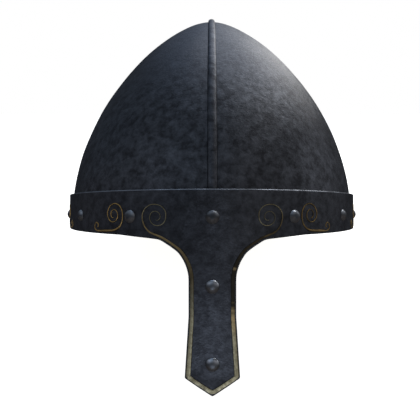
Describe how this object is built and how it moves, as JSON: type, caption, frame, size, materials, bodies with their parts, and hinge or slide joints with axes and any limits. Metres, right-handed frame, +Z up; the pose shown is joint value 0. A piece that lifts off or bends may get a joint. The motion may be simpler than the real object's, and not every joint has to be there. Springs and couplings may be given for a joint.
{
  "type": "norse iron helmet",
  "caption": "Pointed iron helmet with a riveted brow band, a long nose guard, a low comb rib and inlaid brass scrolls, hollow and open below.",
  "frame": {"origin": "on the floor under the middle of the helmet's box, as it rests by itself on the nose guard's tip and the back of the rim", "axes": "+Z up, the wearer faces -Y, +X is the wearer's left. The helmet leans back by atan(nose guard length / depth), about 16.7 degrees"},
  "size_m": [0.2124, 0.2624, 0.1926],
  "materials": {
    "blackened_iron": "forge-blackened and waxed wrought iron, mottled, satin",
    "rivet_iron": "worn iron rivet heads, satin, brownish in the hollows",
    "aged_brass": "aged hammered-in brass, dull, partly worn away"
  },
  "bodies": {
    "root": {"bowl": "blackened_iron", "brow_band": "blackened_iron", "comb_rib": "blackened_iron", "band_rivet_01": "rivet_iron", "band_rivet_02": "rivet_iron", "band_rivet_03": "rivet_iron", "band_rivet_04": "rivet_iron", "band_rivet_05": "rivet_iron", "band_rivet_06": "rivet_iron", "band_rivet_07": "rivet_iron", "band_rivet_08": "rivet_iron", "band_rivet_09": "rivet_iron", "band_rivet_10": "rivet_iron", "band_rivet_11": "rivet_iron", "band_rivet_12": "rivet_iron", "band_rivet_13": "rivet_iron", "band_rivet_14": "rivet_iron", "band_rivet_15": "rivet_iron", "band_rivet_16": "rivet_iron", "nasal_rivet_upper": "rivet_iron", "nasal_rivet_lower": "rivet_iron", "nasal_edging": "aged_brass", "band_scroll_01": "aged_brass", "band_scroll_02": "aged_brass", "band_scroll_03": "aged_brass", "band_scroll_04": "aged_brass", "band_scroll_05": "aged_brass", "band_scroll_06": "aged_brass", "band_scroll_07": "aged_brass", "band_scroll_08": "aged_brass", "band_scroll_09": "aged_brass", "band_scroll_10": "aged_brass", "band_scroll_11": "aged_brass", "band_scroll_12": "aged_brass", "band_scroll_13": "aged_brass", "band_scroll_14": "aged_brass"}
  },
  "joints": []
}
